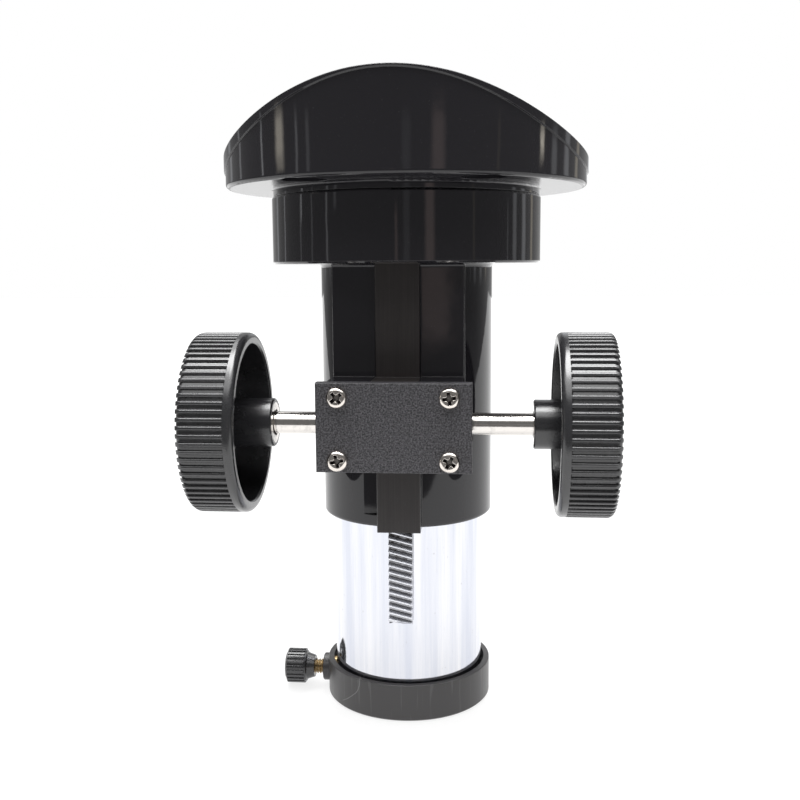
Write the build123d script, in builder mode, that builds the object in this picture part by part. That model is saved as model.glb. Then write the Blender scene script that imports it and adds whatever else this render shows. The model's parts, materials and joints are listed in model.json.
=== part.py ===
"""Rack-and-pinion eyepiece focuser for a reflecting telescope.

Millimetres. The origin is on the optical axis at the open end of the eyepiece collar.
+Z runs along the optical axis towards the telescope tube, X along the knob shaft, and
-Y faces the pinion cover. The drawtube is shown part way out.
"""
from build123d import *
from math import acos, cos, degrees, pi, radians, sin, tan
import os

# ---- eyepiece end ---------------------------------------------------------
EYEPIECE_R = 15.95          # 1.25 inch barrel plus a sliding fit
TUBE_R = 18.5               # drawtube outside
TUBE_BORE_R = 16.9
TUBE_TOP = 104.0
COLLAR_R = 20.55
COLLAR_H = 8.9
COLLAR_SEAT_Z = 3.2         # the drawtube butts on this step
COLLAR_RELIEF_R = 19.15
COLLAR_RELIEF_Z = 6.2
SLEEVE_R = 16.88            # collar sleeve inside the drawtube
SLEEVE_TOP = 27.0

# ---- housing --------------------------------------------------------------
BODY_R = 20.8
BODY_BOTTOM = 47.4
BODY_ROUND = 0.9            # lower edge
BODY_BORE_R = 19.15
RING_R = 32.3
RING_BOTTOM = 108.4
RING_COVE = 1.0             # hollow round where the body meets the ring
RING_TOP = 124.1
RING_ROUND = 0.5
RING_FLOOR = 112.0
RING_WELL_R = 27.2
PAD_HALF = 14.75            # flat pad and gear box, half width
PAD_Y = -23.5
RIB_HALF = 5.0              # hollow rib over the rack
RIB_Y = -24.8
CHANNEL_HALF = 3.2
CHANNEL_Y = -23.2
BOX_BOTTOM = 63.6
BOX_TOP = 83.1
BOX_Y = -32.9
TROUGH_HALF = 4.25
TROUGH_Y = -22.2
POCKET_X = -8.9
POCKET_Y = -18.9
POCKET_BOTTOM = 50.3
STRIP_BOTTOM, STRIP_TOP = 49.0, 107.0
STRIP_W = 9.0
SLIDE_GAP = 0.04

# ---- saddle base ----------------------------------------------------------
SADDLE_R = 43.0
SADDLE_BOTTOM = 125.9
SADDLE_ROUND = 1.0          # bottom edge of the skirt
SADDLE_NECK_R = 32.0
NECK_COVE = 0.5
SADDLE_BORE_R = 23.6
SADDLE_WALL = 2.6
SADDLE_FLOOR = 129.4
SADDLE_BLANK_TOP = 150.0
WEB = 1.6
TELESCOPE_R = 70.0          # the 140 mm tube the saddle sits on
SEAT_Z = 132.2              # lowest line of the curved seat
CREASE_R = 61.5             # curve of the moulding step below the seat
CREASE_Z = 129.0
LIP = 0.35
LIP_RISE, LIP_CUT_RISE = 1.5, 1.1   # the lip and the cut below it start above the rounded edge
BOSS_X, BOSS_Y = 18.8, 32.6
BOSS_R = 5.0
MOUNT_HOLE_R = 2.25
SPOT_FACE_R = 4.9
SPOT_FACE_DEPTH = 1.2
BASE_SCREW_R = 1.5          # M3
BASE_SCREW_PCR = 29.8
BASE_SCREW_L = 7.0          # thread length in the ring
BASE_SCREW_HEAD_R = 2.75
BASE_SCREW_HEAD_H = 2.0

# ---- rack and pinion ------------------------------------------------------
MODULE = 0.5
HELIX = 14.0
TEETH = 16
BACKLASH = 0.04
RACK_HALF = 2.75
RACK_BOTTOM, RACK_TOP = 24.6, 96.6
RACK_LAND = 2.4             # plain end that stops the pinion
RACK_BASE_Y = -18.0
RACK_TIP_Y = -22.0
SHAFT_R = 2.5               # 5 mm shaft
SHAFT_Z = 72.9
SHAFT_MIDDLE = 1.2          # the shaft sits a little to one side in its bearings
SHAFT_HALF = 43.2
GEAR_HALF = 3.2
SHAFT_GAP = 0.04
BEARING_IN, BEARING_OUT = 4.8, 14.6
BEARING_Y = -31.6
SPRING_T = 0.3
SPRING_HALF_W = 11.0
SPRING_HALF_H = 3.4
RACK_SCREW_Z = (34.0, 61.0, 90.0)
RACK_SCREW_R = 1.0          # M2
RACK_SCREW_L = 2.4
RACK_SCREW_HEAD_R = 1.8

# ---- knobs, cover, clamp --------------------------------------------------
KNOB_R = 20.3
KNOB_IN, KNOB_OUT = 33.8, 46.2      # from the middle of the shaft
KNOB_RIDGES = 72
KNOB_WEB = 2.6
KNOB_ROUND = 1.5            # outer corner of the grip
RIM_WALL = 2.5
RIM_W = 2.0                 # plain band beside the ridges
RIM_ROUND = 1.2
RIDGE_DEPTH = 0.55
RIDGE_R = 0.5
KNOB_CHAMFER = 0.3
HUB_COVE, BOWL_COVE = 1.2, 1.5
HUB_R = 5.5
HUB_END = 28.9
INSERT_R = 4.6
INSERT_END = 40.6
COVER_HALF = 16.8
COVER_T = 3.0
COVER_SCREW_X = 12.05
COVER_SCREW_Z = (66.3, 80.0)
COVER_SCREW_R = 1.25        # M2.5
COVER_SCREW_L = 7.0         # thread length in the housing
COVER_HEAD_R = 2.27
COVER_HEAD_H = 1.7
RECESS_SPAN, RECESS_ARM, RECESS_CORE = 2.9, 0.8, 1.5    # cross recess of the cover screws
RECESS_DEPTH, RECESS_TAPER = 1.15, 12
CLAMP_Z = 4.6
CLAMP_R = 1.95              # M4 stud
CLAMP_BOSS_END = -22.0
CLAMP_BOSS_R = 3.45
CLAMP_INSERT_R = 2.9
CLAMP_INSERT_END = -18.6
PAD_HOLE_R = 2.1
PAD_R = 1.9                 # slips through the insert when it is drawn back
PAD_FACE, STUD_TIP = 16.05, 18.0
HEAD_START, HEAD_END = 24.4, 31.9
HEAD_R = 4.35
HEAD_RIDGES = 22

PITCH_T = pi * MODULE / cos(radians(HELIX))
PITCH_R = TEETH * PITCH_T / (2 * pi)
ALPHA_T = acos(1 / (1 + (tan(radians(20)) / cos(radians(HELIX))) ** 2) ** 0.5)
RACK_PITCH_Y = RACK_TIP_Y + MODULE
SHAFT_Y = RACK_PITCH_Y - PITCH_R - BACKLASH
TOOTH_HALF = PITCH_T / 4 - BACKLASH

os.makedirs("parts", exist_ok=True)


def side_plane(x):
    """Plane across the knob shaft: local x is +Y, local y is +Z, normal +X."""
    return Plane(origin=(x, 0, 0), x_dir=(0, 1, 0), z_dir=(1, 0, 0))


def front_plane(y):
    """Plane facing the cover: local x is +X, local y is +Z, normal -Y."""
    return Plane(origin=(0, y, 0), x_dir=(1, 0, 0), z_dir=(0, -1, 0))


def shaft_plane(x):
    """Plane across the knob shaft, centred on the shaft."""
    return Plane(origin=(x, SHAFT_Y, SHAFT_Z), x_dir=(0, 1, 0), z_dir=(1, 0, 0))


SHAFT_AXIS = Axis((0, SHAFT_Y, SHAFT_Z), (1, 0, 0))
CLAMP_SECTION = Plane(origin=(0, 0, CLAMP_Z), x_dir=(-1, 0, 0), z_dir=(0, 1, 0))
CLAMP_AXIS = Axis((0, 0, CLAMP_Z), (-1, 0, 0))
MOUNT_HOLES = [(BOSS_X, BOSS_Y), (-BOSS_X, BOSS_Y), (BOSS_X, -BOSS_Y), (-BOSS_X, -BOSS_Y)]
COVER_SCREWS = [
    (-COVER_SCREW_X, COVER_SCREW_Z[0], 12),
    (-COVER_SCREW_X, COVER_SCREW_Z[1], 40),
    (COVER_SCREW_X, COVER_SCREW_Z[0], 62),
    (COVER_SCREW_X, COVER_SCREW_Z[1], 8),
]

# ---- saddle base ----------------------------------------------------------
# what is cut away round the skirt, below the crease
with BuildPart() as below_lip:
    with BuildSketch(side_plane(-SADDLE_R - 3)):
        with Locations((0, CREASE_Z)):
            Rectangle(2 * SADDLE_R + 6, 2 * CREASE_R)
        with Locations((0, CREASE_Z + CREASE_R)):
            Circle(CREASE_R, mode=Mode.SUBTRACT)
    extrude(amount=2 * SADDLE_R + 6)
    with BuildSketch(Plane.XY.offset(SADDLE_BOTTOM + LIP_CUT_RISE)):
        Circle(SADDLE_R + 3)
        Circle(SADDLE_R, mode=Mode.SUBTRACT)
    extrude(amount=SADDLE_BLANK_TOP - SADDLE_BOTTOM, mode=Mode.INTERSECT)

with BuildPart() as saddle_base:
    with BuildSketch(Plane.XZ):
        with BuildLine():
            Polyline(
                (SADDLE_R, SADDLE_BOTTOM + SADDLE_ROUND),
                (SADDLE_R, SADDLE_BLANK_TOP),
                (SADDLE_BORE_R, SADDLE_BLANK_TOP),
                (SADDLE_BORE_R, RING_TOP),
                (SADDLE_NECK_R, RING_TOP),
                (SADDLE_NECK_R, SADDLE_BOTTOM - NECK_COVE),
            )
            RadiusArc(
                (SADDLE_NECK_R, SADDLE_BOTTOM - NECK_COVE),
                (SADDLE_NECK_R + NECK_COVE, SADDLE_BOTTOM),
                NECK_COVE,
            )
            Line((SADDLE_NECK_R + NECK_COVE, SADDLE_BOTTOM), (SADDLE_R - SADDLE_ROUND, SADDLE_BOTTOM))
            RadiusArc(
                (SADDLE_R - SADDLE_ROUND, SADDLE_BOTTOM),
                (SADDLE_R, SADDLE_BOTTOM + SADDLE_ROUND),
                -SADDLE_ROUND,
            )
        make_face()
    revolve(axis=Axis.Z)
    # lip that follows the curved seat
    with BuildSketch(Plane.XY.offset(SADDLE_BOTTOM + LIP_RISE)):
        Circle(SADDLE_R + LIP)
        Circle(SADDLE_R - 1, mode=Mode.SUBTRACT)
    extrude(amount=SADDLE_BLANK_TOP - SADDLE_BOTTOM - LIP_RISE)
    add(below_lip.part, mode=Mode.SUBTRACT)
    # open cavity with a centre wall, screw bosses and webs left standing
    with BuildSketch(Plane.XY.offset(SADDLE_FLOOR)):
        Circle(SADDLE_R - SADDLE_WALL)
        Circle(SADDLE_BORE_R + 2.0, mode=Mode.SUBTRACT)
        with Locations(*MOUNT_HOLES):
            Circle(BOSS_R, mode=Mode.SUBTRACT)
        with PolarLocations((SADDLE_BORE_R + SADDLE_R) / 2, 12):
            Rectangle(SADDLE_R - SADDLE_BORE_R - 2, WEB, mode=Mode.SUBTRACT)
    extrude(amount=SADDLE_BLANK_TOP - SADDLE_FLOOR, mode=Mode.SUBTRACT)
    # curved seat for the telescope tube
    with BuildSketch(side_plane(-SADDLE_R - LIP)):
        with Locations((0, SEAT_Z + TELESCOPE_R)):
            Circle(TELESCOPE_R)
    extrude(amount=2 * (SADDLE_R + LIP), mode=Mode.SUBTRACT)
    # mounting holes, spot-faced under the flange
    with BuildSketch(Plane.XY.offset(SADDLE_BOTTOM - 2)):
        with Locations(*MOUNT_HOLES):
            Circle(MOUNT_HOLE_R)
    extrude(amount=SADDLE_BLANK_TOP - SADDLE_BOTTOM, mode=Mode.SUBTRACT)
    with BuildSketch(Plane.XY.offset(SADDLE_BOTTOM - 2)):
        with Locations(*MOUNT_HOLES):
            Circle(SPOT_FACE_R)
    extrude(amount=2 + SPOT_FACE_DEPTH, mode=Mode.SUBTRACT)
    # clearance holes for the screws that hold the housing
    with BuildSketch(Plane.XY.offset(RING_TOP)):
        with PolarLocations(BASE_SCREW_PCR, 4, start_angle=45):
            Circle(BASE_SCREW_R + 0.2)
    extrude(amount=SADDLE_FLOOR - RING_TOP, mode=Mode.SUBTRACT)
saddle_base.part.label = "saddle_base"
export_step(saddle_base.part, "parts/saddle_base.step")

# ---- housing --------------------------------------------------------------
with BuildPart() as housing:
    with BuildSketch(Plane.XZ):
        with BuildLine():
            Line((BODY_R, BODY_BOTTOM + BODY_ROUND), (BODY_R, RING_BOTTOM - RING_COVE))
            RadiusArc((BODY_R, RING_BOTTOM - RING_COVE), (BODY_R + RING_COVE, RING_BOTTOM), RING_COVE)
            Polyline(
                (BODY_R + RING_COVE, RING_BOTTOM),
                (RING_R - 0.4, RING_BOTTOM),
                (RING_R, RING_BOTTOM + 0.4),
                (RING_R, RING_TOP - RING_ROUND),
            )
            RadiusArc((RING_R, RING_TOP - RING_ROUND), (RING_R - RING_ROUND, RING_TOP), -RING_ROUND)
            Polyline(
                (RING_R - RING_ROUND, RING_TOP),
                (RING_WELL_R, RING_TOP),
                (RING_WELL_R, RING_FLOOR),
                (0, RING_FLOOR),
                (0, BODY_BOTTOM),
                (BODY_R - BODY_ROUND, BODY_BOTTOM),
            )
            RadiusArc((BODY_R, BODY_BOTTOM + BODY_ROUND), (BODY_R - BODY_ROUND, BODY_BOTTOM), BODY_ROUND)
        make_face()
    revolve(axis=Axis.Z)
    # flat pad, gear box and the hollow rib over the rack
    with BuildSketch(front_plane(PAD_Y)):
        with Locations((0, (BOX_BOTTOM + RING_BOTTOM) / 2)):
            Rectangle(2 * PAD_HALF, RING_BOTTOM - BOX_BOTTOM)
    extrude(amount=PAD_Y + BODY_R / 2)
    with BuildSketch(front_plane(RIB_Y)):
        with Locations((0, (BODY_BOTTOM + RING_BOTTOM) / 2)):
            Rectangle(2 * RIB_HALF, RING_BOTTOM - BODY_BOTTOM)
    extrude(amount=RIB_Y + BODY_R / 2)
    edge_rounds = housing.edges().filter_by(Axis.Z).filter_by_position(Axis.Y, RIB_Y - 0.1, PAD_Y + 0.1)
    fillet(edge_rounds, 0.35)
    with BuildSketch(side_plane(-PAD_HALF)):
        with BuildLine():
            RadiusArc((PAD_Y, RING_BOTTOM - RING_COVE), (PAD_Y - RING_COVE, RING_BOTTOM), -RING_COVE)
            Polyline(
                (PAD_Y - RING_COVE, RING_BOTTOM),
                (PAD_Y, RING_BOTTOM),
                (PAD_Y, RING_BOTTOM - RING_COVE),
            )
        make_face()
    extrude(amount=2 * PAD_HALF)
    with BuildSketch(front_plane(BOX_Y)):
        with Locations((0, (BOX_BOTTOM + BOX_TOP) / 2)):
            Rectangle(2 * PAD_HALF, BOX_TOP - BOX_BOTTOM)
    extrude(amount=BOX_Y - PAD_Y - 1)
    # bore for the drawtube and channel for the rack
    with BuildSketch(Plane.XY.offset(BODY_BOTTOM)):
        Circle(BODY_BORE_R)
        with Locations((0, CHANNEL_Y / 2)):
            Rectangle(2 * CHANNEL_HALF, -CHANNEL_Y)
    extrude(amount=RING_FLOOR - BODY_BOTTOM, mode=Mode.SUBTRACT)
    # trough for the bearing blocks, with room for the pinion
    with BuildSketch(front_plane(BOX_Y)):
        with Locations((0, SHAFT_Z)):
            Rectangle(2 * PAD_HALF, 2 * TROUGH_HALF)
    extrude(amount=BOX_Y - TROUGH_Y, mode=Mode.SUBTRACT)
    with BuildSketch(front_plane(BOX_Y)):
        with Locations((0, SHAFT_Z)):
            Rectangle(2 * (GEAR_HALF + 1), 2 * (PITCH_R + MODULE + 0.5))
    extrude(amount=BOX_Y - RACK_PITCH_Y - 1.2, mode=Mode.SUBTRACT)
    # shallow pocket beside the rib
    with BuildSketch(front_plane(BOX_Y)):
        with Locations(((POCKET_X - RIB_HALF) / 2, (POCKET_BOTTOM + BOX_BOTTOM) / 2)):
            Rectangle(-POCKET_X - RIB_HALF, BOX_BOTTOM - POCKET_BOTTOM)
    extrude(amount=BOX_Y - POCKET_Y, mode=Mode.SUBTRACT)
    # screw holes
    with BuildSketch(front_plane(BOX_Y)):
        with Locations(*[(x, z) for x, z, turn in COVER_SCREWS]):
            Circle(COVER_SCREW_R)
    extrude(amount=-COVER_SCREW_L, mode=Mode.SUBTRACT)
    with BuildSketch(Plane.XY.offset(RING_TOP)):
        with PolarLocations(BASE_SCREW_PCR, 4, start_angle=45):
            Circle(BASE_SCREW_R)
    extrude(amount=-BASE_SCREW_L, mode=Mode.SUBTRACT)
housing.part.label = "focuser_housing"
export_step(housing.part, "parts/focuser_housing.step")

with BuildPart() as base_screws:
    with BuildSketch(Plane.XY.offset(RING_TOP - BASE_SCREW_L)):
        with PolarLocations(BASE_SCREW_PCR, 4, start_angle=45):
            Circle(BASE_SCREW_R)
    extrude(amount=SADDLE_FLOOR - RING_TOP + BASE_SCREW_L)
    with BuildSketch(Plane.XY.offset(SADDLE_FLOOR)):
        with PolarLocations(BASE_SCREW_PCR, 4, start_angle=45):
            Circle(BASE_SCREW_HEAD_R)
    extrude(amount=BASE_SCREW_HEAD_H)
    chamfer(base_screws.faces().group_by(Axis.Z)[-1].edges(), 0.5)
    with BuildSketch(Plane.XY.offset(SADDLE_FLOOR + BASE_SCREW_HEAD_H)):
        with PolarLocations(BASE_SCREW_PCR, 4, start_angle=45):
            Rectangle(3.2, 0.7)
            Rectangle(0.7, 3.2)
    extrude(amount=-1.1, mode=Mode.SUBTRACT)
base_screws.part.label = "base_screws"
export_step(base_screws.part, "parts/base_screws.step")

with BuildPart() as guide_strips:
    with BuildSketch(Plane.XY.offset(STRIP_BOTTOM)):
        Circle(BODY_BORE_R)
        Circle(TUBE_R + SLIDE_GAP, mode=Mode.SUBTRACT)
        with PolarLocations(TUBE_R, 3, start_angle=90):
            Rectangle(4, STRIP_W, mode=Mode.INTERSECT)
    extrude(amount=STRIP_TOP - STRIP_BOTTOM)
guide_strips.part.label = "guide_strips"
export_step(guide_strips.part, "parts/guide_strips.step")

# ---- pinion bearings and cover --------------------------------------------
with BuildPart() as bearing_right:
    with BuildSketch(side_plane(BEARING_IN)):
        with Locations(((BEARING_Y + TROUGH_Y) / 2, SHAFT_Z)):
            Rectangle(TROUGH_Y - BEARING_Y, 2 * TROUGH_HALF - 0.1)
        with Locations((SHAFT_Y, SHAFT_Z)):
            Circle(SHAFT_R + SHAFT_GAP, mode=Mode.SUBTRACT)
    extrude(amount=BEARING_OUT - BEARING_IN)
bearing_right.part.label = "bearing_block_right"
export_step(bearing_right.part, "parts/bearing_block_right.step")

with BuildPart() as bearing_left:
    add(mirror(bearing_right.part, about=Plane.YZ))
bearing_left.part.label = "bearing_block_left"
export_step(bearing_left.part, "parts/bearing_block_left.step")

with BuildPart() as tension_spring:
    with BuildSketch(Plane.XY.offset(SHAFT_Z - SPRING_HALF_H)):
        with BuildLine():
            ThreePointArc(
                (-SPRING_HALF_W, BEARING_Y - 0.02),
                (0, BOX_Y + SPRING_T + 0.02),
                (SPRING_HALF_W, BEARING_Y - 0.02),
            )
            Line((SPRING_HALF_W, BEARING_Y - 0.02), (SPRING_HALF_W, BEARING_Y - 0.02 - SPRING_T))
            ThreePointArc(
                (SPRING_HALF_W, BEARING_Y - 0.02 - SPRING_T),
                (0, BOX_Y + 0.02),
                (-SPRING_HALF_W, BEARING_Y - 0.02 - SPRING_T),
            )
            Line((-SPRING_HALF_W, BEARING_Y - 0.02 - SPRING_T), (-SPRING_HALF_W, BEARING_Y - 0.02))
        make_face()
    extrude(amount=2 * SPRING_HALF_H)
tension_spring.part.label = "tension_spring"
export_step(tension_spring.part, "parts/tension_spring.step")

with BuildPart() as pinion_cover:
    with BuildSketch(front_plane(BOX_Y)):
        with Locations((0, (BOX_BOTTOM + BOX_TOP) / 2)):
            Rectangle(2 * COVER_HALF, BOX_TOP - BOX_BOTTOM)
        with Locations(*[(x, z) for x, z, turn in COVER_SCREWS]):
            Circle(COVER_SCREW_R + 0.1, mode=Mode.SUBTRACT)
    extrude(amount=COVER_T)
    chamfer(pinion_cover.faces().sort_by(Axis.Y)[0].outer_wire().edges(), 0.2)
pinion_cover.part.label = "pinion_cover"
export_step(pinion_cover.part, "parts/pinion_cover.step")

with BuildPart() as cover_screws:
    for x, z, turn in COVER_SCREWS:
        seat = Plane(
            origin=(x, BOX_Y - COVER_T, z),
            x_dir=(cos(radians(turn)), 0, sin(radians(turn))),
            z_dir=(0, -1, 0),
        )
        with BuildSketch(seat):
            Circle(COVER_SCREW_R)
        extrude(amount=-COVER_T - COVER_SCREW_L + 0.5)
        with BuildSketch(seat):
            Circle(COVER_HEAD_R)
        head = extrude(amount=COVER_HEAD_H)
        fillet(head.edges().sort_by(Axis.Y)[0], 0.9)
        with BuildSketch(seat.offset(COVER_HEAD_H)):
            Rectangle(RECESS_SPAN, RECESS_ARM)
            Rectangle(RECESS_ARM, RECESS_SPAN)
            Rectangle(RECESS_CORE, RECESS_CORE, rotation=45)
        extrude(amount=-RECESS_DEPTH, taper=RECESS_TAPER, mode=Mode.SUBTRACT)
cover_screws.part.label = "cover_screws"
export_step(cover_screws.part, "parts/cover_screws.step")

# ---- knob shaft -----------------------------------------------------------
with BuildPart() as pinion_shaft:
    with BuildSketch(shaft_plane(SHAFT_MIDDLE - SHAFT_HALF)):
        Circle(SHAFT_R)
    extrude(amount=2 * SHAFT_HALF)
    chamfer(pinion_shaft.edges(), 0.4)
pinion_shaft.part.label = "pinion_shaft"
export_step(pinion_shaft.part, "parts/pinion_shaft.step")


def involute(angle):
    """Involute function."""
    return tan(angle) - angle


def pinion_outline(twist):
    """Closed list of points of the helical pinion's section, turned by twist radians."""
    base_r = PITCH_R * cos(ALPHA_T)
    root_r = PITCH_R - 1.25 * MODULE
    tip_r = PITCH_R + MODULE
    at_pitch = TOOTH_HALF / PITCH_R + involute(ALPHA_T)
    flank = [(root_r, at_pitch)]
    for r in (base_r, (base_r + PITCH_R) / 2, (PITCH_R + tip_r) / 2, tip_r):
        flank.append((r, at_pitch - involute(acos(base_r / r))))
    points = []
    for tooth in range(TEETH):
        middle = 2 * pi * tooth / TEETH + twist
        points += [(r * cos(middle - a), r * sin(middle - a)) for r, a in flank]
        points += [(r * cos(middle + a), r * sin(middle + a)) for r, a in reversed(flank)]
    return points


with BuildPart() as pinion_gear:
    for step in (-1, -0.5, 0, 0.5, 1):
        x = step * GEAR_HALF
        with BuildSketch(shaft_plane(x)):
            with BuildLine():
                Polyline(*pinion_outline(-x * tan(radians(HELIX)) / PITCH_R), close=True)
            make_face()
    loft(ruled=True)
    with BuildSketch(shaft_plane(-GEAR_HALF)):
        Circle(SHAFT_R)
    extrude(amount=2 * GEAR_HALF, mode=Mode.SUBTRACT)
pinion_gear.part.label = "pinion_gear"
export_step(pinion_gear.part, "parts/pinion_gear.step")

GROOVE_R = KNOB_R - RIDGE_DEPTH
WEB_IN = KNOB_OUT - KNOB_WEB
BOWL_R = KNOB_R - RIM_WALL
BOWL_FOOT = BOWL_R - 0.3     # the bowl's side has a little draft
RIDGE_START = KNOB_IN + RIM_W - 0.3


def shaft_section(side):
    """Plane through the shaft: local x runs from its middle to the right (1) or left (-1) end."""
    return Plane(origin=(SHAFT_MIDDLE, SHAFT_Y, SHAFT_Z), x_dir=(side, 0, 0), z_dir=(0, -side, 0))


def knob(side):
    """Ridged knob with its hub, on the right (1) or left (-1) end of the shaft."""
    # ridges run the length of the grip and are trimmed to its rounded outline
    with BuildPart() as envelope:
        with BuildSketch(shaft_section(side)):
            with BuildLine():
                Line((RIDGE_START, KNOB_R), (KNOB_OUT - KNOB_ROUND, KNOB_R))
                RadiusArc((KNOB_OUT - KNOB_ROUND, KNOB_R), (KNOB_OUT, KNOB_R - KNOB_ROUND), KNOB_ROUND)
                Polyline(
                    (KNOB_OUT, KNOB_R - KNOB_ROUND),
                    (KNOB_OUT, KNOB_R - 2),
                    (RIDGE_START, KNOB_R - 2),
                    (RIDGE_START, KNOB_R),
                )
            make_face()
        revolve(axis=SHAFT_AXIS)
    with BuildPart() as ridges:
        with BuildSketch(shaft_plane(SHAFT_MIDDLE + side * KNOB_IN)):
            with PolarLocations(KNOB_R - RIDGE_R + 0.03, KNOB_RIDGES):
                Circle(RIDGE_R)
        extrude(amount=side * (KNOB_OUT - KNOB_IN))
    with BuildPart() as body:
        with BuildSketch(shaft_section(side)):
            with BuildLine():
                Polyline(
                    (HUB_END, INSERT_R),
                    (HUB_END, HUB_R - KNOB_CHAMFER),
                    (HUB_END + KNOB_CHAMFER, HUB_R),
                    (WEB_IN - HUB_COVE, HUB_R),
                )
                RadiusArc((WEB_IN - HUB_COVE, HUB_R), (WEB_IN, HUB_R + HUB_COVE), -HUB_COVE)
                Line((WEB_IN, HUB_R + HUB_COVE), (WEB_IN, BOWL_FOOT - BOWL_COVE))
                RadiusArc((WEB_IN, BOWL_FOOT - BOWL_COVE), (WEB_IN - BOWL_COVE, BOWL_FOOT), -BOWL_COVE)
                Polyline(
                    (WEB_IN - BOWL_COVE, BOWL_FOOT),
                    (KNOB_IN + KNOB_CHAMFER, BOWL_R),
                    (KNOB_IN, BOWL_R + KNOB_CHAMFER),
                    (KNOB_IN, KNOB_R - RIM_ROUND),
                )
                RadiusArc((KNOB_IN, KNOB_R - RIM_ROUND), (KNOB_IN + RIM_ROUND, KNOB_R), RIM_ROUND)
                Polyline(
                    (KNOB_IN + RIM_ROUND, KNOB_R),
                    (KNOB_IN + RIM_W, KNOB_R),
                    (KNOB_IN + RIM_W + 0.2, GROOVE_R),
                    (KNOB_OUT - KNOB_ROUND, GROOVE_R),
                )
                RadiusArc((KNOB_OUT - KNOB_ROUND, GROOVE_R), (KNOB_OUT - 0.2, GROOVE_R - 1.3), 1.3)
                Polyline(
                    (KNOB_OUT - 0.2, GROOVE_R - 1.3),
                    (KNOB_OUT, KNOB_R - 3),
                    (KNOB_OUT, KNOB_R - 5),
                    (KNOB_OUT - 0.6, KNOB_R - 5.6),
                    (KNOB_OUT - 0.6, 0),
                    (SHAFT_HALF, 0),
                    (SHAFT_HALF, SHAFT_R),
                    (INSERT_END, SHAFT_R),
                    (INSERT_END, INSERT_R),
                    (HUB_END, INSERT_R),
                )
            make_face()
        revolve(axis=SHAFT_AXIS)
        add(ridges.part & envelope.part)
    return body.part


def knob_insert(side):
    """Metal bush moulded into a knob's hub, pressed on the shaft."""
    with BuildPart() as bush:
        with BuildSketch(shaft_section(side)):
            with BuildLine():
                Polyline(
                    (HUB_END + 0.6, SHAFT_R),
                    (HUB_END, SHAFT_R + 0.6),
                    (HUB_END, INSERT_R),
                    (INSERT_END, INSERT_R),
                    (INSERT_END, SHAFT_R),
                    close=True,
                )
            make_face()
        revolve(axis=SHAFT_AXIS)
    return bush.part


with BuildPart() as knob_right:
    add(knob(1))
knob_right.part.label = "knob_right"
export_step(knob_right.part, "parts/knob_right.step")

with BuildPart() as knob_left:
    add(knob(-1))
knob_left.part.label = "knob_left"
export_step(knob_left.part, "parts/knob_left.step")

with BuildPart() as insert_right:
    add(knob_insert(1))
insert_right.part.label = "knob_insert_right"
export_step(insert_right.part, "parts/knob_insert_right.step")

with BuildPart() as insert_left:
    add(knob_insert(-1))
insert_left.part.label = "knob_insert_left"
export_step(insert_left.part, "parts/knob_insert_left.step")

# ---- drawtube and rack ----------------------------------------------------
with BuildPart() as drawtube:
    with BuildSketch(Plane.XY.offset(COLLAR_SEAT_Z)):
        Circle(TUBE_R)
        Circle(TUBE_BORE_R, mode=Mode.SUBTRACT)
    extrude(amount=TUBE_TOP - COLLAR_SEAT_Z)
    chamfer(drawtube.faces().sort_by(Axis.Z)[-1].edges(), 0.3)
    with BuildSketch(front_plane(-TUBE_R - 1)):
        with Locations((0, (RACK_BOTTOM + RACK_TOP) / 2)):
            Rectangle(2 * RACK_HALF, RACK_TOP - RACK_BOTTOM)
    extrude(amount=-TUBE_R - 1 - RACK_BASE_Y, mode=Mode.SUBTRACT)
    with BuildSketch(front_plane(-TUBE_R)):
        with Locations(*[(0, z) for z in RACK_SCREW_Z]):
            Circle(RACK_SCREW_R)
    extrude(amount=-4, mode=Mode.SUBTRACT)
    with BuildSketch(side_plane(-TUBE_R - 1)):
        with Locations((0, CLAMP_Z)):
            Circle(PAD_HOLE_R)
    extrude(amount=4, mode=Mode.SUBTRACT)
drawtube.part.label = "drawtube"
export_step(drawtube.part, "parts/drawtube.step")

SLANT = RACK_HALF * tan(radians(HELIX))
LAND_Z = RACK_TOP - RACK_LAND
GAP_TIP = TOOTH_HALF - MODULE * tan(ALPHA_T)
GAP_ROOT = TOOTH_HALF + 1.25 * MODULE * tan(ALPHA_T)
ROOT_Y = RACK_PITCH_Y + 1.25 * MODULE
FIRST_TOOTH = int((RACK_BOTTOM - SHAFT_Z - 2 * SLANT) / PITCH_T) - 1
LAST_TOOTH = int((RACK_TOP - SHAFT_Z) / PITCH_T) + 2

with BuildPart() as rack_teeth:
    with BuildSketch(side_plane(-RACK_HALF)):
        with BuildLine():
            outline = []
            for tooth in range(FIRST_TOOTH, LAST_TOOTH):
                middle = SHAFT_Z + (tooth + 0.5) * PITCH_T + SLANT
                outline.append((ROOT_Y, middle - GAP_ROOT))
                outline.append((RACK_TIP_Y, middle - GAP_TIP))
                outline.append((RACK_TIP_Y, middle + GAP_TIP))
                outline.append((ROOT_Y, middle + GAP_ROOT))
            outline.append((ROOT_Y + 0.6, outline[-1][1]))
            outline.append((ROOT_Y + 0.6, outline[0][1]))
            Polyline(*outline, close=True)
        make_face()
    extrude(
        amount=2 * RACK_HALF / cos(radians(HELIX)),
        dir=(cos(radians(HELIX)), 0, -sin(radians(HELIX))),
    )
    with BuildSketch(side_plane(-RACK_HALF)):
        with BuildLine():
            Polyline(
                (ROOT_Y + 0.6, RACK_BOTTOM),
                (RACK_TIP_Y + 0.7, RACK_BOTTOM),
                (RACK_TIP_Y, RACK_BOTTOM + 0.7),
                (RACK_TIP_Y, LAND_Z),
                (ROOT_Y + 0.6, LAND_Z),
                close=True,
            )
        make_face()
    extrude(amount=2 * RACK_HALF, mode=Mode.INTERSECT)

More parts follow.
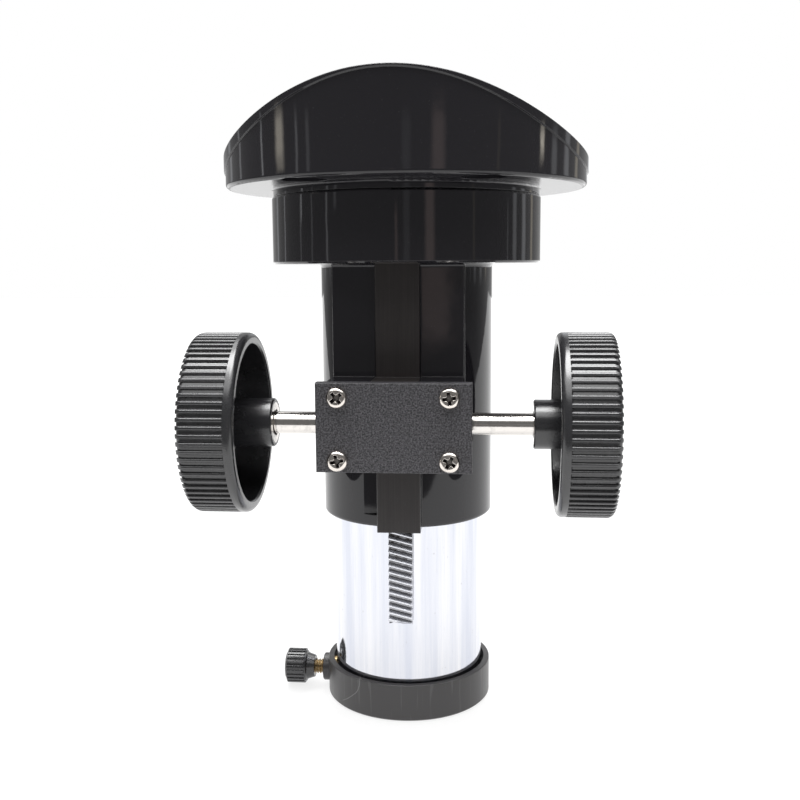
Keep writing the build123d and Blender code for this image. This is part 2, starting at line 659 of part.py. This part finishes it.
with BuildPart() as rack:
    with BuildSketch(side_plane(-RACK_HALF)):
        with Locations(((ROOT_Y + RACK_BASE_Y) / 2, (RACK_BOTTOM + RACK_TOP) / 2)):
            Rectangle(RACK_BASE_Y - ROOT_Y, RACK_TOP - RACK_BOTTOM)
        with Locations(((RACK_TIP_Y + RACK_BASE_Y) / 2, (LAND_Z + RACK_TOP) / 2)):
            Rectangle(RACK_BASE_Y - RACK_TIP_Y, RACK_LAND)
    extrude(amount=2 * RACK_HALF)
    add(rack_teeth.part)
    with BuildSketch(front_plane(RACK_BASE_Y)):
        with Locations(*[(0, z) for z in RACK_SCREW_Z]):
            Circle(RACK_SCREW_R)
    extrude(amount=RACK_SCREW_L, mode=Mode.SUBTRACT)
rack.part.label = "rack"
export_step(rack.part, "parts/rack.step")

with BuildPart() as rack_screws:
    with BuildSketch(front_plane(RACK_BASE_Y)):
        with Locations(*[(0, z) for z in RACK_SCREW_Z]):
            Circle(RACK_SCREW_R)
    extrude(amount=RACK_SCREW_L)
    with BuildSketch(front_plane(RACK_BASE_Y)):
        with Locations(*[(0, z) for z in RACK_SCREW_Z]):
            Circle(RACK_SCREW_R)
    extrude(amount=RACK_BASE_Y + TUBE_BORE_R - 0.12)
    with BuildSketch(front_plane(-TUBE_BORE_R + 0.12)):
        with Locations(*[(0, z) for z in RACK_SCREW_Z]):
            Circle(RACK_SCREW_HEAD_R)
    extrude(amount=-0.8)
rack_screws.part.label = "rack_screws"
export_step(rack_screws.part, "parts/rack_screws.step")

# ---- eyepiece collar and clamp --------------------------------------------
with BuildPart() as eyepiece_collar:
    with BuildSketch(Plane.XZ):
        with BuildLine():
            Polyline(
                (EYEPIECE_R + 0.5, 0),
                (COLLAR_R - 0.4, 0),
                (COLLAR_R, 0.4),
                (COLLAR_R, COLLAR_H - 0.15),
                (COLLAR_R - 0.15, COLLAR_H),
                (COLLAR_RELIEF_R, COLLAR_H),
                (COLLAR_RELIEF_R, COLLAR_RELIEF_Z),
                (TUBE_R, COLLAR_RELIEF_Z),
                (TUBE_R, COLLAR_SEAT_Z),
                (SLEEVE_R, COLLAR_SEAT_Z),
                (SLEEVE_R, SLEEVE_TOP),
                (EYEPIECE_R, SLEEVE_TOP),
                (EYEPIECE_R, 0.5),
                close=True,
            )
        make_face()
    revolve(axis=Axis.Z)
    with BuildSketch(CLAMP_SECTION):
        with BuildLine():
            Polyline(
                (COLLAR_RELIEF_R + 0.3, 0),
                (-CLAMP_BOSS_END, 0),
                (-CLAMP_BOSS_END, CLAMP_BOSS_R - 0.2),
                (-CLAMP_BOSS_END - 0.2, CLAMP_BOSS_R),
                (COLLAR_RELIEF_R + 0.3, CLAMP_BOSS_R),
                close=True,
            )
        make_face()
    revolve(axis=CLAMP_AXIS)
    with BuildSketch(side_plane(CLAMP_BOSS_END)):
        with Locations((0, CLAMP_Z)):
            Circle(CLAMP_INSERT_R)
    extrude(amount=CLAMP_INSERT_END - CLAMP_BOSS_END, mode=Mode.SUBTRACT)
    with BuildSketch(side_plane(CLAMP_BOSS_END)):
        with Locations((0, CLAMP_Z)):
            Circle(PAD_HOLE_R)
    extrude(amount=-CLAMP_BOSS_END - EYEPIECE_R + 2, mode=Mode.SUBTRACT)
eyepiece_collar.part.label = "eyepiece_collar"
export_step(eyepiece_collar.part, "parts/eyepiece_collar.step")

with BuildPart() as clamp_insert:
    with BuildSketch(side_plane(CLAMP_BOSS_END)):
        with Locations((0, CLAMP_Z)):
            Circle(CLAMP_INSERT_R)
            Circle(CLAMP_R + SHAFT_GAP, mode=Mode.SUBTRACT)
    extrude(amount=CLAMP_INSERT_END - CLAMP_BOSS_END)
clamp_insert.part.label = "clamp_insert"
export_step(clamp_insert.part, "parts/clamp_insert.step")

with BuildPart() as clamp_pad:
    with BuildSketch(CLAMP_SECTION):
        with BuildLine():
            Polyline(
                (PAD_FACE, 0),
                (PAD_FACE, PAD_R - 0.3),
                (PAD_FACE + 0.3, PAD_R),
                (STUD_TIP, PAD_R),
                (STUD_TIP, 0),
                close=True,
            )
        make_face()
    revolve(axis=CLAMP_AXIS)
clamp_pad.part.label = "clamp_pad"
export_step(clamp_pad.part, "parts/clamp_pad.step")

with BuildPart() as clamp_stud:
    with BuildSketch(CLAMP_SECTION):
        with BuildLine():
            Polyline(
                (STUD_TIP + 0.01, 0),
                (STUD_TIP + 0.01, CLAMP_R - 0.4),
                (STUD_TIP + 0.41, CLAMP_R),
                (HEAD_END - 2, CLAMP_R),
                (HEAD_END - 2, 0),
                close=True,
            )
        make_face()
    revolve(axis=CLAMP_AXIS)
clamp_stud.part.label = "clamp_stud"
export_step(clamp_stud.part, "parts/clamp_stud.step")

with BuildPart() as clamp_head:
    with BuildSketch(CLAMP_SECTION):
        with BuildLine():
            Polyline(
                (HEAD_START, CLAMP_R),
                (HEAD_START, 2.75),
                (HEAD_START + 1.9, 3.4),
                (HEAD_START + 2.1, HEAD_R - 0.5),
                (HEAD_START + 2.5, HEAD_R - 0.3),
                (HEAD_END - 0.5, HEAD_R - 0.3),
                (HEAD_END, HEAD_R - 1.0),
                (HEAD_END, 0),
                (HEAD_END - 2, 0),
                (HEAD_END - 2, CLAMP_R),
                close=True,
            )
        make_face()
    revolve(axis=CLAMP_AXIS)
    with BuildSketch(side_plane(-HEAD_END + 0.5)):
        with Locations((0, CLAMP_Z)):
            with PolarLocations(HEAD_R - 0.3, HEAD_RIDGES):
                Rectangle(0.6, 0.62)
    extrude(amount=HEAD_END - HEAD_START - 3.0)
clamp_head.part.label = "clamp_head"
export_step(clamp_head.part, "parts/clamp_head.step")
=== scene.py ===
"""Looks of the telescope focuser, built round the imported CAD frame. Metres, +Z towards the saddle."""
import json
import math

import bpy
from mathutils import Matrix, Vector


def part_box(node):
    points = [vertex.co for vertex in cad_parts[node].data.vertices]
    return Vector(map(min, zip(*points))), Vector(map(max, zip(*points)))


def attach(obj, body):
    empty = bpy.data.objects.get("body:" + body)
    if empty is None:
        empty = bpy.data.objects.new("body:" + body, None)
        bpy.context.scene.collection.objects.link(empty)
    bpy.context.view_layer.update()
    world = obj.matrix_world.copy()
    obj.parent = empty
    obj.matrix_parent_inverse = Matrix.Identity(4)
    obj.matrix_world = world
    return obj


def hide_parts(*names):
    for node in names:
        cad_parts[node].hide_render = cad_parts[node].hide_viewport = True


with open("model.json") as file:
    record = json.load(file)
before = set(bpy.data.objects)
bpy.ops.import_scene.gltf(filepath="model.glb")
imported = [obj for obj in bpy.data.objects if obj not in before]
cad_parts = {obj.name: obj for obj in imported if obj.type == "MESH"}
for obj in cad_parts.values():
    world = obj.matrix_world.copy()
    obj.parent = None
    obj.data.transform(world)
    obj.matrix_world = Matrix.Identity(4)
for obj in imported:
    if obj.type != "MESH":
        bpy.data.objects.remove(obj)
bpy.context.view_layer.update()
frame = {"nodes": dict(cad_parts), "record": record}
nodes = frame["nodes"]
MM = 0.001


# ---- shader helpers ---------------------------------------------------------
class Graph:
    """A small wrapper that makes and links shader nodes."""

    def __init__(self, tree):
        self.tree = tree
        tree.nodes.clear()

    def put(self, kind, **inputs):
        """A node of this kind with these inputs; an underscore stands for a space."""
        node = self.tree.nodes.new(kind)
        for name, value in inputs.items():
            self.feed(node.inputs[name.replace("_", " ")], value)
        return node

    def feed(self, socket, value):
        """Links another node's output to the socket, or sets the socket to a plain value."""
        if isinstance(value, bpy.types.NodeSocket):
            self.tree.links.new(value, socket)
        else:
            socket.default_value = value

    def math(self, operation, a, b=0.0, clamp=False):
        node = self.tree.nodes.new("ShaderNodeMath")
        node.operation = operation
        node.use_clamp = clamp
        for socket, value in zip(node.inputs, (a, b)):
            self.feed(socket, value)
        return node.outputs[0]

    def ramp(self, factor, stops):
        """A colour ramp through (place, colour) stops."""
        node = self.tree.nodes.new("ShaderNodeValToRGB")
        elements = node.color_ramp.elements
        while len(elements) < len(stops):
            elements.new(0.5)
        for element, (place, colour) in zip(elements, stops):
            element.position = place
            element.color = (*colour, 1)
        self.feed(node.inputs[0], factor)
        return node.outputs[0]

    def noise(self, vector, scale, detail=3.0, rough=0.5):
        node = self.tree.nodes.new("ShaderNodeTexNoise")
        node.inputs["Scale"].default_value = scale
        node.inputs["Detail"].default_value = detail
        node.inputs["Roughness"].default_value = rough
        self.feed(node.inputs["Vector"], vector)
        return node.outputs[0]

    def stretched(self, vector, scale):
        """The vector times scale, axis by axis, for streaks."""
        node = self.tree.nodes.new("ShaderNodeMapping")
        node.inputs["Scale"].default_value = scale
        self.feed(node.inputs["Vector"], vector)
        return node.outputs[0]

    def axes(self, vector):
        """The vector's x, y and z."""
        return self.put("ShaderNodeSeparateXYZ", Vector=vector).outputs[:3]

    def rise(self, value, low, high):
        """0 where value is low, 1 where it is high, straight between them."""
        return self.put("ShaderNodeMapRange", From_Min=low, From_Max=high, Value=value).outputs[0]

    def mix(self, factor, a, b):
        """Colour a when factor is 0, b when it is 1."""
        node = self.tree.nodes.new("ShaderNodeMix")
        node.data_type = "RGBA"
        self.feed(node.inputs["Factor"], factor)
        self.feed(node.inputs["A"], a if isinstance(a, bpy.types.NodeSocket) else (*a, 1))
        self.feed(node.inputs["B"], b if isinstance(b, bpy.types.NodeSocket) else (*b, 1))
        return node.outputs["Result"]

    def blend(self, factor, a, b):
        """a when factor is 0, b when it is 1, for plain numbers."""
        return self.math("ADD", a, self.math("MULTIPLY", factor, self.math("SUBTRACT", b, a)))

    def bump(self, height, strength, distance, edge=0.0002):
        """Relief from height, over edges that look rounded to the given radius."""
        node = self.tree.nodes.new("ShaderNodeBump")
        node.inputs["Strength"].default_value = strength
        node.inputs["Distance"].default_value = distance
        self.feed(node.inputs["Height"], height)
        rounded = self.tree.nodes.new("ShaderNodeBevel")
        rounded.samples = 6
        rounded.inputs["Radius"].default_value = edge
        self.feed(node.inputs["Normal"], rounded.outputs[0])
        return node.outputs[0]


def surface(name, build):
    """A material whose Principled inputs are given by build(graph, object coordinates)."""
    material = bpy.data.materials.new(name)
    material.use_nodes = True
    g = Graph(material.node_tree)
    coordinates = g.put("ShaderNodeTexCoord").outputs["Object"]
    shader = g.put("ShaderNodeBsdfPrincipled")
    for key, value in build(g, coordinates).items():
        g.feed(shader.inputs[key], value)
    output = g.put("ShaderNodeOutputMaterial")
    g.tree.links.new(shader.outputs[0], output.inputs["Surface"])
    return material


# where some finishes change: the rib's face, its half width and top, the saddle's
# underside and how far it must face down, the rack's tips and roots, and the ends of
# its greased stretch
RIB_FACE_Y, RIB_EDGE_X, RIB_TOP = -24.65 * MM, 5.1 * MM, 108.6 * MM
FLANGE_Z, DOWNWARD = 124.5 * MM, -0.9
RACK_TIPS_Y, RACK_ROOTS_Y = -21.9 * MM, -21.0 * MM
GREASE_FROM_Z, GREASE_FULL_Z = 26.0 * MM, 45.0 * MM


def gloss_black(g, p):
    """Polished black moulding, brushed and duller on the rib's face."""
    x, y, z = g.axes(p)
    near_middle = g.math("LESS_THAN", g.math("ABSOLUTE", x), RIB_EDGE_X)
    on_rib = g.math("MULTIPLY", g.math("LESS_THAN", y, RIB_FACE_Y), near_middle)
    on_rib = g.math("MULTIPLY", on_rib, g.math("LESS_THAN", z, RIB_TOP))
    facing = g.put("ShaderNodeNewGeometry").outputs["Normal"]
    downward = g.math("LESS_THAN", g.axes(facing)[2], DOWNWARD)
    underside = g.math("MULTIPLY", downward, g.math("GREATER_THAN", z, FLANGE_Z))
    smear = g.noise(g.stretched(p, (260, 260, 60)), 1.0, 4)
    dust = g.noise(p, 2600, 2)
    specks = g.ramp(dust, [(0.69, (0, 0, 0)), (0.74, (1, 1, 1))])
    brushed = g.noise(g.stretched(p, (4200, 900, 60)), 1.0, 3)
    rib_colour = g.mix(brushed, (0.014, 0.012, 0.012), (0.040, 0.034, 0.033))
    colour = g.mix(on_rib, (0.0170, 0.0160, 0.0190), rib_colour)
    colour = g.mix(g.math("MULTIPLY", specks, 0.12), colour, (0.12, 0.12, 0.12))
    rough = g.blend(smear, 0.03, 0.07)
    rough = g.blend(on_rib, g.blend(underside, rough, 0.17), 0.36)
    height = g.math("ADD", g.noise(p, 120, 2), g.math("MULTIPLY", dust, 0.02))
    return {
        "Base Color": colour,
        "Roughness": rough,
        "IOR": 1.5,
        "Normal": g.bump(height, 0.10, 0.00030, 0.00025),
    }


def grained_black(g, p):
    """Leather-like grain of the cover plate."""
    grain = g.noise(p, 2700, 3, 0.7)
    patch = g.noise(p, 220, 3)
    raised = g.ramp(grain, [(0.40, (0, 0, 0)), (0.62, (1, 1, 1))])
    colour = g.mix(raised, (0.012, 0.012, 0.014), (0.110, 0.106, 0.116))
    return {
        "Base Color": colour,
        "Roughness": g.blend(patch, 0.42, 0.58),
        "Normal": g.bump(grain, 0.8, 0.00016),
    }


# the scratch on the collar: where it starts and ends, how it bows and wanders, its width
SCRATCH_TOP_Z, SCRATCH_FOOT_Z, SCRATCH_X = 8.3 * MM, 1.7 * MM, -9.9 * MM
SCRATCH_BOW, SCRATCH_POWER, SCRATCH_WANDER = 41.0, 1.8, 1.0 * MM
SCRATCH_HALF, COLLAR_FRONT_Y = 0.09 * MM, -10.0 * MM


def satin_black(g, p):
    """Turned collar with faint upright marks and one curved scratch at the front left."""
    turning = g.noise(g.stretched(p, (60, 60, 9000)), 1.0, 2)
    lines = g.noise(g.stretched(p, (900, 900, 40)), 1.0, 3)
    upright_streaks = g.ramp(lines, [(0.60, (0, 0, 0)), (0.66, (1, 1, 1))])
    x, y, z = g.axes(p)
    wander = g.math("MULTIPLY", g.noise(g.stretched(p, (0, 0, 260)), 1.0, 2), SCRATCH_WANDER)
    drop = g.math("MAXIMUM", g.math("SUBTRACT", SCRATCH_TOP_Z, z), 0.0)
    bow = g.math("MULTIPLY", g.math("POWER", drop, SCRATCH_POWER), SCRATCH_BOW)
    path = g.math("SUBTRACT", g.math("ADD", x, g.math("ADD", wander, bow)), SCRATCH_X)
    scratch = g.math("LESS_THAN", g.math("ABSOLUTE", path), SCRATCH_HALF)
    scratch = g.math("MULTIPLY", scratch, g.math("LESS_THAN", y, COLLAR_FRONT_Y))
    scratch = g.math("MULTIPLY", scratch, g.math("GREATER_THAN", z, SCRATCH_FOOT_Z))
    marks = g.math("MAXIMUM", scratch, g.math("MULTIPLY", upright_streaks, 0.25))
    return {
        "Base Color": g.mix(g.math("MULTIPLY", marks, 0.5), (0.046, 0.044, 0.045), (0.26, 0.26, 0.26)),
        "Roughness": g.blend(turning, 0.28, 0.40),
        "Normal": g.bump(turning, 0.10, 0.00006),
    }


def knob_black(g, p):
    """Moulded knob, slightly worn."""
    fine = g.noise(p, 5200, 3, 0.6)
    wear = g.ramp(g.noise(p, 300, 4), [(0.50, (0, 0, 0)), (0.72, (1, 1, 1))])
    return {
        "Base Color": g.mix(g.math("MULTIPLY", wear, 0.5), (0.022, 0.022, 0.024), (0.044, 0.044, 0.047)),
        "Roughness": g.blend(fine, 0.15, 0.26),
        "Specular IOR Level": 0.85,
        "Normal": g.bump(fine, 0.15, 0.00008),
    }


def chrome(g, p):
    """Chromed tube with upright lilac streaks in its colour and a few specks."""
    rings = g.noise(g.stretched(p, (90, 90, 2600)), 1.0, 2)
    cloud = g.noise(g.stretched(p, (130, 130, 50)), 1.0, 4)
    lines = g.noise(g.stretched(p, (260, 260, 9)), 1.0, 5, 0.6)
    upright_streaks = g.ramp(lines, [(0.38, (0, 0, 0)), (0.66, (1, 1, 1))])
    spots = g.ramp(g.noise(p, 1500, 2), [(0.735, (0, 0, 0)), (0.75, (1, 1, 1))])
    colour = g.mix(upright_streaks, (0.62, 0.64, 0.71), (0.80, 0.80, 0.82))
    return {
        "Base Color": g.mix(g.math("MULTIPLY", spots, 0.5), colour, (0.30, 0.28, 0.27)),
        "Metallic": 1.0,
        "Roughness": g.blend(cloud, 0.05, 0.13),
        "Normal": g.bump(rings, 0.05, 0.00005),
    }


# share of its surroundings a point sees where it counts as open, and where as deep in a recess, and how
# far round it that looks, for the shade painted dark into the rack's tooth roots and into screw recesses
# and thread roots
OPEN_SHARE, DEEP_SHARE = 0.80, 0.45
ROOT_SHADE_REACH, RECESS_SHADE_REACH = 1.0 * MM, 1.1 * MM


def painted_hollow_shade(g, reach):
    """How much shade to paint: 1 in corners and recesses narrower than reach, 0 in the open."""
    shade = g.tree.nodes.new("ShaderNodeAmbientOcclusion")
    shade.samples = 8
    shade.only_local = True
    shade.inputs["Distance"].default_value = reach
    return g.rise(shade.outputs["AO"], OPEN_SHARE, DEEP_SHARE)


def rack_steel(g, p):
    """Bright teeth with dark grease between them, more of it near the housing, and shade painted dark
    into the tooth roots.
    """
    y, z = g.axes(p)[1:]
    blotch = g.noise(p, 900, 4, 0.65)
    depth = g.rise(y, RACK_TIPS_Y, RACK_ROOTS_Y)
    height = g.rise(z, GREASE_FROM_Z, GREASE_FULL_Z)
    grease_and_shade = g.math("MULTIPLY", depth, g.blend(height, 0.10, 1.0))
    patchy = g.ramp(blotch, [(0.30, (0.4, 0.4, 0.4)), (0.60, (1, 1, 1))])
    grease_and_shade = g.math("MULTIPLY", grease_and_shade, patchy, clamp=True)
    # painted shade: the tooth roots darkened where they are enclosed, on top of the grease
    grease_and_shade = g.math("MAXIMUM", grease_and_shade, g.math("MULTIPLY", painted_hollow_shade(g, ROOT_SHADE_REACH), 0.65))
    return {
        "Base Color": g.mix(grease_and_shade, (0.80, 0.81, 0.86), (0.030, 0.022, 0.018)),
        "Metallic": g.blend(grease_and_shade, 1.0, 0.15),
        "Roughness": g.blend(blotch, 0.16, 0.34),
        "Normal": g.bump(blotch, 0.2, 0.00006),
    }


def bright_metal(colour, low, high, stretch, recess_shade=0.0):
    """A bare metal: roughness from low to high in stretched streaks, and its recesses darkened with
    painted shade by the last argument.
    """

    def build(g, p):
        streak = g.noise(g.stretched(p, stretch), 1.0, 3)
        stain = g.ramp(g.noise(p, 700, 3), [(0.55, (0, 0, 0)), (0.80, (1, 1, 1))])
        shade = g.mix(g.math("MULTIPLY", stain, 0.35), colour, tuple(0.45 * c for c in colour))
        # painted shade: recesses darkened towards a near-black colour and made less metallic
        painted_recess_shade = g.math("MULTIPLY", painted_hollow_shade(g, RECESS_SHADE_REACH), recess_shade)
        return {
            "Base Color": g.mix(painted_recess_shade, shade, (0.012, 0.009, 0.008)),
            "Metallic": g.math("SUBTRACT", 1.0, g.math("MULTIPLY", painted_recess_shade, 0.8)),
            "Roughness": g.blend(streak, low, high),
            "Normal": g.bump(streak, 0.06, 0.00005),
        }

    return build


def nylon(g, p):
    """Off-white bearing plastic."""
    fine = g.noise(p, 1500, 3)
    return {
        "Base Color": g.mix(fine, (0.70, 0.68, 0.60), (0.80, 0.78, 0.72)),
        "Roughness": g.blend(fine, 0.40, 0.55),
        "Subsurface Weight": 0.1,
        "Normal": g.bump(fine, 0.1, 0.00005),
    }


MATERIALS = {
    "gloss_black": surface("gloss_black", gloss_black),
    "cover_black": surface("cover_black", grained_black),
    "collar_black": surface("collar_black", satin_black),
    "knob_black": surface("knob_black", knob_black),
    "tube_chrome": surface("tube_chrome", chrome),
    "rack_steel": surface("rack_steel", rack_steel),
    # the last number on nickel and brass is how strongly shade is painted into their recesses: screw
    # recesses, thread roots
    "nickel": surface("nickel", bright_metal((0.76, 0.71, 0.66), 0.10, 0.20, (900, 900, 900), 1.0)),
    "stainless": surface("stainless", bright_metal((0.74, 0.71, 0.68), 0.10, 0.20, (2500, 60, 60))),
    "steel": surface("steel", bright_metal((0.55, 0.54, 0.53), 0.20, 0.32, (900, 900, 900))),
    "brass": surface("brass", bright_metal((0.47, 0.35, 0.19), 0.18, 0.32, (2500, 60, 60), 0.8)),
    "spring_steel": surface("spring_steel", bright_metal((0.30, 0.31, 0.35), 0.22, 0.35, (60, 900, 900))),
    "nylon_white": surface("nylon_white", nylon),
    "ptfe": surface("ptfe", nylon),
}

slots = {s["node"]: s["material_slot"] for s in frame["record"]["subparts"]}
slots["rack"] = "rack_steel"
for name, obj in nodes.items():
    obj.data.materials.clear()
    obj.data.materials.append(MATERIALS[slots[name]])


# ---- clamp screw's thread ---------------------------------------------------
PITCH, THREAD_DEPTH = 0.7 * MM, 0.42 * MM       # M4
FLANK, TIP_TAPER = 1.25, 1.2        # steepness of the flanks, and of the lead-in at the tip
PER_PITCH, AROUND = 12, 40          # rings of points in one pitch, points in a ring


def threaded_rod(name, node):
    """The node's plain stud, along X, cut with a right-hand thread."""
    low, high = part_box(node)
    radius = (high.z - low.z) / 2
    centre = (low + high) / 2
    rings = round((high.x - low.x) / PITCH * PER_PITCH)
    points = []
    for i in range(rings + 1):
        x = low.x + (high.x - low.x) * i / rings
        for k in range(AROUND):
            turn = k / AROUND
            flank = abs(((x / PITCH - turn) % 1.0) * 2 - 1)
            r = radius - THREAD_DEPTH * min(1.0, FLANK * flank)
            r = min(r, radius - THREAD_DEPTH + TIP_TAPER * (high.x - x))
            angle = 2 * math.pi * turn
            points.append((x, centre.y + r * math.cos(angle), centre.z + r * math.sin(angle)))
    faces = [tuple(reversed(range(AROUND))), tuple(rings * AROUND + k for k in range(AROUND))]
    for i in range(rings):
        for k in range(AROUND):
            a, b = i * AROUND + k, i * AROUND + (k + 1) % AROUND
            faces.append((a, b, b + AROUND, a + AROUND))
    mesh = bpy.data.meshes.new(name)
    mesh.from_pydata(points, [], faces)
    mesh.validate()
    mesh.update()
    obj = bpy.data.objects.new(name, mesh)
    bpy.context.scene.collection.objects.link(obj)
    return obj


thread = threaded_rod("clamp_thread", "clamp_stud")
thread.data.materials.append(MATERIALS["brass"])
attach(thread, "clamp_screw")
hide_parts("clamp_stud")

# ---- floor and surroundings -------------------------------------------------
# the table: narrow beside the object, wide behind it, just under the collar
FLOOR_OUTLINE = (
    (-0.45, -0.225),
    (0.62, -0.225),
    (0.62, 0.10),
    (2.2, 3.2),
    (-2.2, 3.2),
    (-0.45, 0.10),
)
FLOOR_Z = -0.2 * MM
# the soft light above: radiance, and the elevations in degrees between which it fades in
SOFTBOX, SOFTBOX_EDGE = 12.0, (66.0, 72.0)
CEILING, CEILING_EDGE = 3.0, (38.0, 50.0)
# the dark room: radiance against the turn away from -Y, as a share of half a turn
ROOM = ((0.0, 0.16), (0.60, 0.20), (0.78, 0.34), (1.0, 0.50))
SIDE_FADE, END_FADE = 0.6, 1.2      # share of a light's half width, and degrees at its ends
# upright light sources in the dark room: azimuth and half width in degrees (0 faces -Y,
# 90 faces +X), radiance, lowest and highest elevation in degrees, colour
CREAM, GREY, PINK = (1.0, 0.93, 0.80), (0.95, 0.97, 1.0), (1.0, 0.82, 0.78)
LIGHTS = (
    (-136, 3.0, 0.7, -1.0, 12.0, GREY),
    (-119, 1.4, 0.9, -1.0, 12.0, GREY),
    (-93, 1.0, 1.8, 2.0, 8.8, GREY),
    (-94, 0.8, 0.8, -2.0, 5.0, GREY),
    (-77, 4.2, 3.4, 5.2, 9.2, CREAM),
    (-80, 1.0, 0.7, -2.0, 5.0, GREY),
    (-64, 1.1, 1.2, -2.0, 9.0, GREY),
    (-56, 1.6, 0.7, 3.0, 9.0, GREY),
    (-3.5, 1.5, 0.6, -5.0, 4.0, PINK),
    (5, 3.5, 0.35, -2.0, 9.0, GREY),
    (24, 5.0, 0.75, -2.0, 9.5, PINK),
    (62, 1.2, 0.4, -2.0, 9.0, CREAM),
    (95, 2.4, 6.0, 5.6, 8.0, CREAM),
    (98, 0.8, 0.7, -1.0, 4.0, GREY),
    (107, 3.5, 0.9, -1.0, 8.0, GREY),
    (121, 4.0, 1.0, -1.0, 9.0, GREY),
    (136, 3.0, 0.9, -1.0, 9.0, CREAM),
    (175, 14.0, 0.9, 4.0, 30.0, GREY),
)


def flat(name, outline, z):
    """A level polygon that isn't part of the object."""
    mesh = bpy.data.meshes.new(name)
    mesh.from_pydata([(x, y, z) for x, y in outline], [], [tuple(range(len(outline)))])
    obj = bpy.data.objects.new(name, mesh)
    bpy.context.scene.collection.objects.link(obj)
    return obj


def floor_white(g, p):
    """Pale, a little lit of its own so that shadows on it stay faint."""
    grain = g.noise(p, 300, 3)
    return {
        "Base Color": g.mix(grain, (0.16, 0.16, 0.16), (0.20, 0.20, 0.20)),
        "Roughness": 0.55,
        "Emission Color": (1.0, 1.0, 1.0, 1.0),
        "Emission Strength": 0.80,
    }


def within(g, value, middle, half, edge):
    """1 where value is within half of middle, falling to 0 over the given edge."""
    off = g.math("ABSOLUTE", g.math("SUBTRACT", value, middle))
    return g.math("DIVIDE", g.math("SUBTRACT", half, off), edge, clamp=True)


floor = flat("floor", FLOOR_OUTLINE, FLOOR_Z)
floor.data.materials.append(surface("floor_white", floor_white))
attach(floor, "drawtube")      # the focuser stands on its collar, so the floor follows it

world = bpy.data.worlds.new("studio")
bpy.context.scene.world = world
world.use_nodes = True
g = Graph(world.node_tree)
direction = g.put("ShaderNodeTexCoord").outputs["Generated"]
dx, dy, dz = g.axes(direction)
azimuth = g.math("DEGREES", g.math("ARCTAN2", dx, g.math("MULTIPLY", dy, -1.0)))
elevation = g.math("DEGREES", g.math("ARCSINE", dz))
turn = g.math("DIVIDE", g.math("ABSOLUTE", azimuth), 180.0)
room = g.ramp(turn, [(place, (radiance,) * 3) for place, radiance in ROOM])
room = g.mix(g.rise(elevation, *CEILING_EDGE), room, (CEILING,) * 3)
room = g.mix(g.rise(elevation, *SOFTBOX_EDGE), room, (SOFTBOX,) * 3)

for middle, half, radiance, low, high, tint in LIGHTS:
    across = within(g, azimuth, middle, half, SIDE_FADE * half)
    along = within(g, elevation, (low + high) / 2, (high - low) / 2, END_FADE)
    room = g.mix(g.math("MULTIPLY", across, along), room, tuple(radiance * c for c in tint))
seen = g.put("ShaderNodeLightPath").outputs["Is Camera Ray"]
background = g.put("ShaderNodeBackground", Color=g.mix(seen, room, (1.0, 1.0, 1.0)), Strength=1.0)
out = g.put("ShaderNodeOutputWorld")
g.tree.links.new(background.outputs[0], out.inputs["Surface"])

# ---- camera -----------------------------------------------------------------
CAMERA_AT = Vector((20.999, -242.189, 107.535)) * MM
YAW, TILT, ROLL = 5.39, -7.698, -0.388      # degrees, turned towards -X and tipped down
LENS, SENSOR = 44.306, 36                   # millimetres

camera = bpy.data.cameras.new("camera")
camera.sensor_width = SENSOR
camera.lens = LENS
camera_object = bpy.data.objects.new("camera", camera)
bpy.context.scene.collection.objects.link(camera_object)
bpy.context.scene.camera = camera_object
yaw, tilt, roll = (math.radians(angle) for angle in (YAW, TILT, ROLL))
forward = Vector((-math.sin(yaw) * math.cos(tilt), math.cos(yaw) * math.cos(tilt), math.sin(tilt)))
right = Vector((math.cos(yaw), math.sin(yaw), 0))
up = right.cross(forward)
side = math.cos(roll) * right + math.sin(roll) * up
top = -math.sin(roll) * right + math.cos(roll) * up
pose = Matrix((side, top, -forward)).transposed().to_4x4()
pose.translation = CAMERA_AT
camera_object.matrix_world = pose
camera.clip_start = 0.01

bpy.context.scene.view_settings.view_transform = "Standard"
